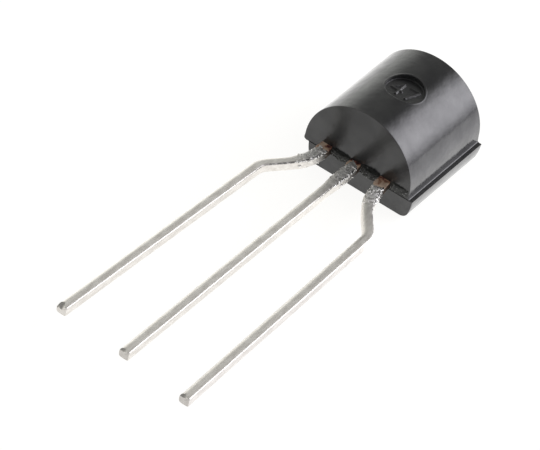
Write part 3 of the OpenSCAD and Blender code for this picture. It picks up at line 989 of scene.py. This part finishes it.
# azimuth and elevation of the softbox's middle, and the angles from it to where the softbox fades
SOFTBOX_TO = (140, 27)
SOFTBOX_INNER, SOFTBOX_OUTER = math.radians(6), math.radians(35)
SOFTBOX_LEVEL = 5.1
SOFTBOX_TINT, ROOM_TINT = (1.0, 0.99, 1.045, 1.0), (0.995, 1.005, 0.97, 1.0)
ROOM_BACK, ROOM_FRONT, ROOM_LEFT = 0.38, 0.2, 0.12
HORIZON_LEVEL = 1.05
SEEN_LEVEL = 1.04
# where the room's parts fade in, as shares of the way forward, to +Y and up
IN_FRONT, ON_LEFT, ON_RIGHT, HORIZON = (-0.1, 0.5), (-0.1, -0.4), (-0.1, 0.3), (0.55, 0.0)
# a dark gap shows between the table's edge and the softbox
TABLE_EDGE = (-0.04, -0.02)
GAP_LIGHT, GAP_RISE = 0.6, 0.03

FLOOR_R, FLOOR_SIDES = 50.0, 120
FLOOR_MIDDLE = (8.0, -14.0, -0.004)
FLOOR_TINT, FLOOR_SIDE_TINT = (1.0, 0.995, 0.98, 1.0), (1.0, 0.99, 1.02, 1.0)
FLOOR_LEVEL, FLOOR_SEEN_LEVEL = 1.2, 1.15
PAPER = (0.8, 0.8, 0.8, 1.0)
# painted light: how much brighter the paper glows near the body, past it on the +Y side, and on the -Y side
NEAR_GLOW, FAR_GLOW, SIDE_GLOW = 0.25, 1.35, 0.6
# where those fade in: by distance from the body, by y and x, and by y
NEAR, FAR_Y, FAR_X, SIDE_Y = (7.0, 3.5), (1.5, 5.5), (6.0, 2.0), (-2.0, -4.5)

# the camera: its direction from LOOK_AT, how far away it stands, and how far that is aside and above
AZIMUTH, ELEVATION, ROLL = 27.604, 41.571, math.radians(12.34)
LOOK_AT = Vector((5.29, 0, 1.5))
DISTANCE, ASIDE, ABOVE = 160.0, -1.4377, -1.0263
SENSOR_W, FOCAL_L = 36.0, 300.828
CLIP_FROM, CLIP_TO = 0.001, 2.0


def direction(azimuth, elevation):
    a, e = math.radians(azimuth), math.radians(elevation)
    return Vector((math.cos(e) * math.cos(a), math.cos(e) * math.sin(a), math.sin(e)))


def studio():
    """A softbox behind the part, on its +Y side, in a plain room that the camera sees as white."""
    world = bpy.data.worlds.new("studio")
    world.use_nodes = True
    bpy.context.scene.world = world
    t = Tree(world.node_tree)
    look = t.node("ShaderNodeTexCoord", output="Generated").vector("NORMALIZE")
    off = look.vector("DOT_PRODUCT", tuple(direction(*SOFTBOX_TO)), "Value").math("ARCCOSINE")
    in_softbox = off.step(SOFTBOX_OUTER, SOFTBOX_INNER)
    forward, side, rise = (look.axis(name) for name in "XYZ")
    room = ROOM_BACK - forward.step(*IN_FRONT) * (ROOM_BACK - ROOM_FRONT) + side.step(*ON_LEFT) * ROOM_LEFT
    horizon = rise.step(*HORIZON) * HORIZON_LEVEL
    over_edge = (rise - side.step(*ON_RIGHT) * GAP_RISE).step(*TABLE_EDGE)
    above = GAP_LIGHT + over_edge * (1 - GAP_LIGHT)
    light = (in_softbox * SOFTBOX_LEVEL + horizon) * above + room
    seen = t.node("ShaderNodeBackground", None, {"Color": (1.0, 1.0, 1.0, 1.0), "Strength": SEEN_LEVEL})
    lit = t.node("ShaderNodeBackground", None, {
        "Color": t.mix(side.step(*ON_RIGHT), ROOM_TINT, SOFTBOX_TINT), "Strength": light})
    camera_ray = t.node("ShaderNodeLightPath", output="Is Camera Ray")
    both = t.node("ShaderNodeMixShader", None, {0: camera_ray, 1: lit, 2: seen})
    t.node("ShaderNodeOutputWorld", None, {"Surface": both})


def studio_floor():
    """White paper that lights the part from below, glows with painted light in its reflections, and still
    takes its shadow.
    """
    turns = [math.tau * k / FLOOR_SIDES for k in range(FLOOR_SIDES)]
    middle_x, middle_y, z = FLOOR_MIDDLE
    points = [(FLOOR_R * math.cos(t) + middle_x, FLOOR_R * math.sin(t) + middle_y, z) for t in turns]
    mesh = bpy.data.meshes.new("studio_floor")
    mesh.from_pydata([tuple(c * MM for c in p) for p in points], [], [list(range(FLOOR_SIDES))])
    f = Finish("white_paper")
    camera, glossy, through = (f.node("ShaderNodeLightPath", output=name) for name in (
        "Is Camera Ray", "Is Glossy Ray", "Is Transmission Ray"))
    x, y = f.mm.axis("X"), f.mm.axis("Y")
    near, far_side = f.mm.vector("LENGTH", output="Value").step(*NEAR), y.step(*FAR_Y)
    # painted light: a pool of the softbox's light on the paper, which the camera's own view of the paper does
    # not show
    glow = near * NEAR_GLOW + far_side * x.step(*FAR_X) * FAR_GLOW + y.step(*SIDE_Y) * SIDE_GLOW
    level = camera * FLOOR_SEEN_LEVEL + (1 - camera) * (FLOOR_LEVEL + glow)
    paper = f.node("ShaderNodeBsdfDiffuse", None, {"Color": PAPER})
    sheet = f.node("ShaderNodeEmission", None, {
        "Color": f.mix(far_side, FLOOR_TINT, FLOOR_SIDE_TINT), "Strength": level})
    seen = (camera + glossy + through).math("MINIMUM", 1.0) * 0.8
    both = f.node("ShaderNodeMixShader", None, {0: seen, 1: paper, 2: sheet})
    f.node("ShaderNodeOutputMaterial", None, {"Surface": both})
    link("studio_floor", mesh, f.material)


def studio_camera():
    """The view from in front of the leads, to their +Y side."""
    back = direction(AZIMUTH, ELEVATION)
    level_right = Vector((0, 0, 1)).cross(back).normalized()
    level_up = back.cross(level_right)
    right = math.cos(ROLL) * level_right + math.sin(ROLL) * level_up
    up = math.cos(ROLL) * level_up - math.sin(ROLL) * level_right
    place = Matrix.Translation((LOOK_AT + DISTANCE * back + ASIDE * right + ABOVE * up) * MM)
    lens = bpy.data.cameras.new("studio_camera")
    lens.sensor_width, lens.lens = SENSOR_W, FOCAL_L
    lens.clip_start, lens.clip_end = CLIP_FROM, CLIP_TO
    camera = bpy.data.objects.new("studio_camera", lens)
    bpy.context.scene.collection.objects.link(camera)
    camera.matrix_world = place @ Matrix((right, up, back)).transposed().to_4x4()
    bpy.context.scene.camera = camera


studio()
studio_floor()
studio_camera()
bpy.context.scene.view_settings.view_transform = "Standard"
